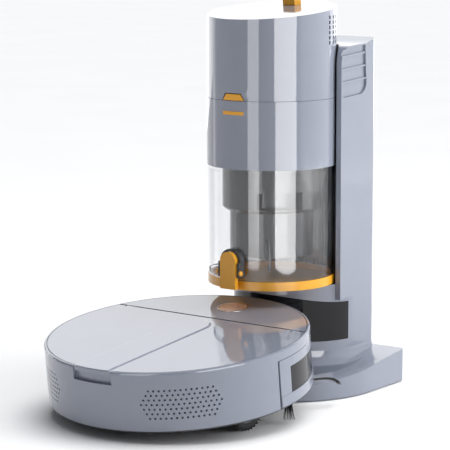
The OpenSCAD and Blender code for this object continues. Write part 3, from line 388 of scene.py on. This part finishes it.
def dress_nodes(materials):
    for row in RECORD["subparts"]:
        node = NODES[row["node"]]
        for place in node.material_slots:
            place.material = materials[row["material_slot"]]


SHARP_ANGLE = 30  # degrees between faces at an edge that gets rounded
FLAT_ANGLE = 0.3  # degrees between faces that are one flat face
SAME_POINT = 0.002 * MM


def soften(node, width):
    """Rounds the sharp edges of a CAD node a little, as the mould does."""
    piece = NODES[node]
    weld = piece.modifiers.new("weld", "WELD")
    weld.merge_threshold = SAME_POINT
    flat = piece.modifiers.new("flat", "DECIMATE")
    flat.decimate_type, flat.angle_limit = "DISSOLVE", math.radians(FLAT_ANGLE)
    edge = piece.modifiers.new("edge", "BEVEL")
    edge.width, edge.segments = width, 2
    edge.limit_method, edge.angle_limit = "ANGLE", math.radians(SHARP_ANGLE)
    edge.harden_normals = True
    edge.use_clamp_overlap = True
    level = piece.modifiers.new("level", "WEIGHTED_NORMAL")
    level.mode, level.weight, level.keep_sharp = "FACE_AREA", 100, False


# Width in millimetres of the rounding on each node's edges
SOFTENED = {
    "head_shell": 0.5, "collar": 0.4, "top_button": 1.2, "release_button": 0.5, "marker_bar": 0.3,
    "cup_latch": 1.2, "latch_bracket": 0.4, "bottom_flap": 0.5, "column_housing": 0.6, "back_cover": 0.7,
    "base_plate": 0.9, "side_shell": 0.5, "rear_lid": 0.4, "top_panel": 0.4, "bumper": 0.6,
    "louvre_bars": 0.3, "shroud_upper": 0.4, "shroud_lower": 0.4,
}


# --- Shaping helpers ------------------------------------------------------------------------
def add_piece(name, mesh, body, slot, matrix=None, smooth=40):
    """Links a mesh as a piece on a body, shaded smooth up to the given angle."""
    mesh.materials.append(materials[slot])
    for face in mesh.polygons:
        face.use_smooth = True
    mesh.set_sharp_from_angle(angle=math.radians(smooth))
    piece = bpy.data.objects.new(name, mesh)
    if matrix is not None:
        piece.matrix_world = matrix
    bpy.context.scene.collection.objects.link(piece)
    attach(piece, body)
    return piece


def mesh_from(name, bm):
    bmesh.ops.recalc_face_normals(bm, faces=bm.faces)
    mesh = bpy.data.meshes.new(name)
    bm.to_mesh(mesh)
    bm.free()
    return mesh


def lathe(bm, profile, steps=96, matrix=None):
    """Turns a profile of (radius, height) points about Z. A radius of 0 closes on the axis."""
    rings = []
    for radius, height in profile:
        if radius == 0:
            rings.append([bm.verts.new((0, 0, height))])
            continue
        turns = [2 * math.pi * i / steps for i in range(steps)]
        rings.append([bm.verts.new((radius * math.cos(a), radius * math.sin(a), height)) for a in turns])
    for one, two in zip(rings, rings[1:]):
        for i in range(steps):
            j = (i + 1) % steps
            corners = [one[i % len(one)], one[j % len(one)], two[j % len(two)], two[i % len(two)]]
            bm.faces.new(list(dict.fromkeys(corners)))
    if matrix is not None:
        bmesh.ops.transform(bm, matrix=matrix, verts=[v for ring in rings for v in ring])


def tube(bm, path, radii, sides=8):
    """A round tube along a path of points, with its two ends closed."""
    points = [Vector(p) for p in path]
    rings = []
    across = Vector((0, 0, 1))
    for i, point in enumerate(points):
        along = (points[min(i + 1, len(points) - 1)] - points[max(i - 1, 0)]).normalized()
        side = along.cross(across)
        side = side.normalized() if side.length > 0.05 else along.cross(Vector((0, 1, 0))).normalized()
        up = side.cross(along)
        across = up
        radius = radii[i] if isinstance(radii, (list, tuple)) else radii
        turns = [2 * math.pi * k / sides for k in range(sides)]
        rings.append([bm.verts.new(point + (side * math.cos(a) + up * math.sin(a)) * radius) for a in turns])
    for one, two in zip(rings, rings[1:]):
        for k in range(sides):
            m = (k + 1) % sides
            bm.faces.new((one[k], one[m], two[m], two[k]))
    bm.faces.new(rings[0])
    bm.faces.new(list(reversed(rings[-1])))


# --- Pieces ---------------------------------------------------------------------------------
def make_power_disc():
    """The spun power button: a shallow dish with a rounded rim."""
    r, top, rim = BUTTON_R, 0.2 * MM, 0.7 * MM
    profile = [(0, top - 0.5 * MM)]
    profile += [(r * k / 12, top - 0.5 * MM * (1 - (k / 12) ** 2)) for k in range(1, 12)]
    profile += [(r - rim, top - 0.02 * MM)]
    profile += [(r - rim + rim * math.sin(a), top - rim + rim * math.cos(a))
                for a in (math.radians(d) for d in (15, 35, 55, 75, 90))]
    profile += [(r, top - 5 * MM), (0, top - 5 * MM)]
    bm = bmesh.new()
    lathe(bm, profile, steps=128)
    place = ROBOT @ Matrix.Translation((0, BUTTON_AHEAD, ROBOT_H))
    disc = add_piece("power_disc", mesh_from("power_disc", bm), "start_button", "copper", place, smooth=30)
    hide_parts("power_button")


def make_lid_strip():
    """Soft edge all round the raised strip in the lid."""
    # out from the strip's edge, and up from the lid, in millimetres
    section = [(2.8, 0.02), (2.1, 0.1), (1.5, 0.34), (0.9, 0.8), (0.35, 1.12), (-0.4, 1.23), (-1.4, 1.23),
               (-1.5, 0.9), (2.7, -0.4)]
    half, turn_y, front = 25, 26.3, -166.4
    outline = [((half, front + (turn_y - front) * k / 24), (1, 0)) for k in range(24)]
    outline += [((half * math.cos(a), turn_y + half * math.sin(a)), (math.cos(a), math.sin(a)))
                for a in (math.pi * k / 40 for k in range(41))]
    outline += [((-half, turn_y + (front - turn_y) * k / 24), (-1, 0)) for k in range(1, 25)]
    bm = bmesh.new()
    rows = [[bm.verts.new(Vector((x + d * nx, y + d * ny, z)) * MM) for d, z in section]
            for (x, y), (nx, ny) in outline]
    for one, two in zip(rows, rows[1:]):
        for j in range(len(section)):
            m = (j + 1) % len(section)
            bm.faces.new((one[j], one[m], two[m], two[j]))
    bm.faces.new(rows[0])
    bm.faces.new(list(reversed(rows[-1])))
    place = ROBOT @ Matrix.Translation((0, 0, ROBOT_H))
    add_piece("lid_strip", mesh_from("lid_strip", bm), "lid", "grey_shell", place, smooth=50)


def bristle_path(rng, lateral, droop):
    """One side-brush bristle, out from the hub and bending down to its tip."""
    start = 8 + 3 * rng.random()
    reach = 58 + 3 * rng.random()
    fan = lateral * 2.3 + rng.uniform(-0.5, 0.5)
    drop = droop * rng.uniform(0.94, 1.0)
    lift = rng.uniform(-0.6, 0.6)
    path = []
    for k in range(9):
        t = k / 8
        path.append(Vector((start + reach * math.sin(t * math.pi / 2) ** 1.1,
                            lateral + fan * t * t,
                            -2.9 + lift * (1 - t) - drop * (1 - math.cos(t * math.pi / 2)) ** 1.35)) * MM)
    return path


BRUSH_X, BRUSH_AHEAD = 112 * MM, 84 * MM
TUFT_TURN = 57  # degrees from the robot's side to its first tuft
BRISTLES = 44  # in each tuft, in rows of 11


def make_side_brush(side, label):
    """Hub with a domed cap, and three tufts of fine bristles."""
    rng = random.Random(41 + side)
    hub_at = Matrix.Translation((side * BRUSH_X, BRUSH_AHEAD, 0))
    bm = bmesh.new()
    lathe(bm, [(0, -4.6 * MM), (3.4 * MM, -4.6 * MM), (4 * MM, -4.1 * MM), (5 * MM, -4.1 * MM),
               (5.6 * MM, -4.5 * MM), (8.4 * MM, -4.3 * MM), (9.6 * MM, -3.6 * MM), (10 * MM, -2.6 * MM),
               (9.8 * MM, -0.8 * MM), (0, -0.7 * MM)], steps=64)
    turns = [math.radians(i * 120 - TUFT_TURN * side + (180 if side < 0 else 0)) for i in range(3)]
    for turn in turns:
        root = [Vector((x * MM, 0, z * MM)) for x, z in ((6, -2.6), (10, -2.9), (14, -3.1), (17, -3.3))]
        spin = Matrix.Rotation(turn, 3, "Z")
        tube(bm, [spin @ p for p in root], [3.0 * MM, 2.8 * MM, 2.4 * MM, 2.0 * MM], sides=12)
    hub = add_piece(f"sweeper_hub_{label}", mesh_from("hub", bm), f"sweeper_{label}", "dark_trim",
                    ROBOT @ hub_at)
    bm = bmesh.new()
    for number, turn in enumerate(turns):
        spin = Matrix.Rotation(turn, 3, "Z")
        droop = 24 if number == 0 else 13
        for k in range(BRISTLES):
            lateral = (k % 11 - 5) * 0.42 + rng.uniform(-0.1, 0.1)
            path = [spin @ p for p in bristle_path(rng, lateral, droop)]
            tube(bm, path, [0.34 * MM] * 6 + [0.3 * MM, 0.24 * MM, 0.16 * MM], sides=5)
    add_piece(f"sweeper_bristles_{label}", mesh_from("bristles", bm), f"sweeper_{label}", "bristle",
              ROBOT @ hub_at)
    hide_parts(f"side_brush_{label}")


def make_tyre(label):
    """Rubber tyre with a tread of slanted lugs, on a wheel with spokes."""
    low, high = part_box(f"wheel_{label}")
    centre = (low + high) / 2
    radius, width = (high.z - low.z) / 2, high.x - low.x
    place = Matrix.Translation(centre) @ Matrix.Rotation(math.radians(90), 4, "Y")
    half, base = width / 2, radius - 1.8 * MM
    bm = bmesh.new()
    lathe(bm, [(radius - 9 * MM, -half + 1 * MM), (radius - 4 * MM, -half), (base - 1 * MM, -half + 0.6 * MM),
               (base, -half + 2 * MM), (base, half - 2 * MM), (base - 1 * MM, half - 0.6 * MM),
               (radius - 4 * MM, half), (radius - 9 * MM, half - 1 * MM),
               (radius - 9 * MM, -half + 1 * MM)], steps=120)
    lugs = 36
    for k in range(lugs):
        for hand in (-1, 1):
            start = 2 * math.pi * (k + (0.5 if hand > 0 else 0)) / lugs
            corners = []
            for lift, taper in ((base - 0.3 * MM, 1.0), (radius, 0.72)):
                outer = half / MM - 0.8
                for along, turn in ((0.3, 0.0), (outer, 0.075), (outer, 0.145), (0.3, 0.07)):
                    a = start + 0.0725 + (turn - 0.0725) * taper
                    corners.append(bm.verts.new((lift * math.cos(a), lift * math.sin(a), hand * along * MM)))
            for face in ((0, 1, 5, 4), (1, 2, 6, 5), (2, 3, 7, 6), (3, 0, 4, 7), (4, 5, 6, 7), (3, 2, 1, 0)):
                bm.faces.new([corners[i] for i in face])
    tyre = add_piece(f"tyre_{label}", mesh_from("tyre", bm), f"drive_{label}", "rubber", place)
    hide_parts(f"wheel_{label}")
    bm = bmesh.new()
    rim = radius - 9.2 * MM
    lathe(bm, [(rim, -half + 1.5 * MM), (rim, half - 1.5 * MM), (rim - 2.4 * MM, half - 1.5 * MM),
               (rim - 3 * MM, half - 5 * MM), (9 * MM, half - 5 * MM), (8 * MM, half - 1 * MM),
               (3.1 * MM, half - 1 * MM), (3.1 * MM, -half + 1 * MM), (8 * MM, -half + 1 * MM),
               (9 * MM, -half + 5 * MM), (rim - 3 * MM, -half + 5 * MM), (rim - 2.4 * MM, -half + 1.5 * MM),
               (rim, -half + 1.5 * MM)], steps=96)
    for k in range(6):
        spoke = Matrix.Rotation(k * math.pi / 3, 3, "Z")
        for z in (-1, 1):
            ends = [Vector((x, 0, z * (half - 4 * MM))) for x in (8.2 * MM, rim - 2.6 * MM)]
            tube(bm, [spoke @ e for e in ends], 1.6 * MM, sides=10)
    add_piece(f"wheel_disc_{label}", mesh_from("disc", bm), f"drive_{label}", "fan_grey", place)


def make_brush_roll():
    """Core with rows of bristles between soft fins, all laid in a V along the roll."""
    low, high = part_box("brush_roll")
    centre = (low + high) / 2
    half = (high.x - low.x) / 2
    core, reach = 12.6 * MM, 18.6 * MM
    steps = 40
    place = Matrix.Translation(centre)

    def turned(x, angle, radius):
        a = angle + math.radians(42) * (1 - abs(x) / half)
        return Vector((x, radius * math.cos(a), radius * math.sin(a)))

    bm = bmesh.new()
    lathe(bm, [(3.1 * MM, -half), (core - 1 * MM, -half), (core, -half + 1 * MM), (core, half - 1 * MM),
               (core - 1 * MM, half), (3.1 * MM, half), (3.1 * MM, -half)], steps=64,
          matrix=Matrix.Rotation(math.radians(90), 4, "Y"))
    for k in range(3):
        angle = k * 2 * math.pi / 3
        rows = []
        for i in range(steps + 1):
            x = -half + 1 * MM + (2 * half - 2 * MM) * i / steps
            rows.append([bm.verts.new(turned(x, angle + d, r)) for d, r in
                         ((-0.1, core - 0.4 * MM), (-0.035, reach), (0.035, reach), (0.1, core - 0.4 * MM))])
        for one, two in zip(rows, rows[1:]):
            for j in range(4):
                m = (j + 1) % 4
                bm.faces.new((one[j], one[m], two[m], two[j]))
        bm.faces.new(rows[0])
        bm.faces.new(list(reversed(rows[-1])))
    roll = add_piece("roll_core", mesh_from("roll_core", bm), "roll", "fan_grey", place)
    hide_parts("brush_roll")
    rng = random.Random(7)
    bm = bmesh.new()
    for k in range(3):
        angle = (k + 0.5) * 2 * math.pi / 3
        for i in range(52):
            x = -half + 2.5 * MM + (2 * half - 5 * MM) * i / 51
            for strand in range(5):
                off = rng.uniform(-0.06, 0.06)
                path = [turned(x + rng.uniform(-0.6, 0.6) * MM, angle + off * t, r) for t, r in
                        ((1, core - 0.5 * MM), (1.1, 15.5 * MM), (1.5, reach))]
                tube(bm, path, [0.5 * MM, 0.45 * MM, 0.25 * MM], sides=5)
    add_piece("roll_bristles", mesh_from("roll_bristles", bm), "roll", "roll_plush", place)


def make_latch_details():
    """Caps on the latch's pivot and the bent wire loop beside it."""
    low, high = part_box("latch_pin")
    centre = (low + high) / 2
    bm = bmesh.new()
    cap = [(0, 3.2), (2.2, 3.2), (3.0, 2.8), (3.4, 2.0), (3.4, 0.05), (0, 0.05)]
    for side in (-1, 1):
        turn = Matrix.Rotation(math.radians(90 * side), 4, "Y")
        at = Matrix.Translation(centre + Vector((side * 17 * MM, 0, 0))) @ turn
        lathe(bm, [(r * MM, z * MM) for r, z in cap], steps=40, matrix=at)
    add_piece("latch_caps", mesh_from("latch_caps", bm), "collector", "orange")
    bm = bmesh.new()
    path = []
    for k in range(19):
        t = k / 18
        around_cup = math.radians(-101 - 24 * math.sin(t * math.pi / 2))
        stand = CUP_R + 1.6 * MM + 3.2 * MM * math.sin(math.pi * min(1, t * 1.15))
        height = centre.z + 8 * MM - 15 * MM * t ** 1.6
        path.append((stand * math.cos(around_cup), CUP_Y + stand * math.sin(around_cup), height))
    tube(bm, path, 1.1 * MM, sides=12)
    inner = [(x * 0.985, CUP_Y + (y - CUP_Y) * 0.985, z - 4.2 * MM) for x, y, z in path[3:16]]
    tube(bm, inner, 0.6 * MM, sides=10)
    add_piece("latch_wire", mesh_from("latch_wire", bm), "collector", "steel")


def make_cup_hook():
    """The small bent tube inside the cup, from the lower shroud to above the flap."""
    toward = Vector((0.607, -0.795))
    side = Vector((0.795, 0.607))
    bm = bmesh.new()
    for inset, radius in ((0, 2.0 * MM), (6 * MM, 1.2 * MM)):
        path = []
        for k in range(15):
            a = math.radians(90 * min(1, k / 9))
            bend = 13 * MM - inset * 0.6
            out = 66 * MM - bend + bend * math.sin(a)
            high = 206 * MM - inset - bend * (1 - math.cos(a)) - max(0, k - 9) * 5.2 * MM
            spot = toward * out + side * (-4 * MM - 4 * MM * math.cos(a))
            path.append((spot.x, CUP_Y + spot.y, high))
        tube(bm, path, radius, sides=12)
    add_piece("cup_hook", mesh_from("cup_hook", bm), "collector", "smoke")


def make_floor():
    mesh = bpy.data.meshes.new("floor")
    bm = bmesh.new()
    bmesh.ops.create_grid(bm, x_segments=8, y_segments=8, size=FLOOR_HALF)
    bm.to_mesh(mesh)
    bm.free()
    floor = bpy.data.objects.new("floor", mesh)
    mesh.materials.append(floor_material())
    bpy.context.scene.collection.objects.link(floor)


# --- Making the scene -----------------------------------------------------------------------
make_camera()
make_lights()
make_world()
materials = make_materials()
dress_nodes(materials)
for node, width in SOFTENED.items():
    soften(node, width * MM)
make_power_disc()
make_lid_strip()
for side, label in ((-1, "left"), (1, "right")):
    make_side_brush(side, label)
    make_tyre(label)
make_brush_roll()
make_latch_details()
make_cup_hook()
make_floor()
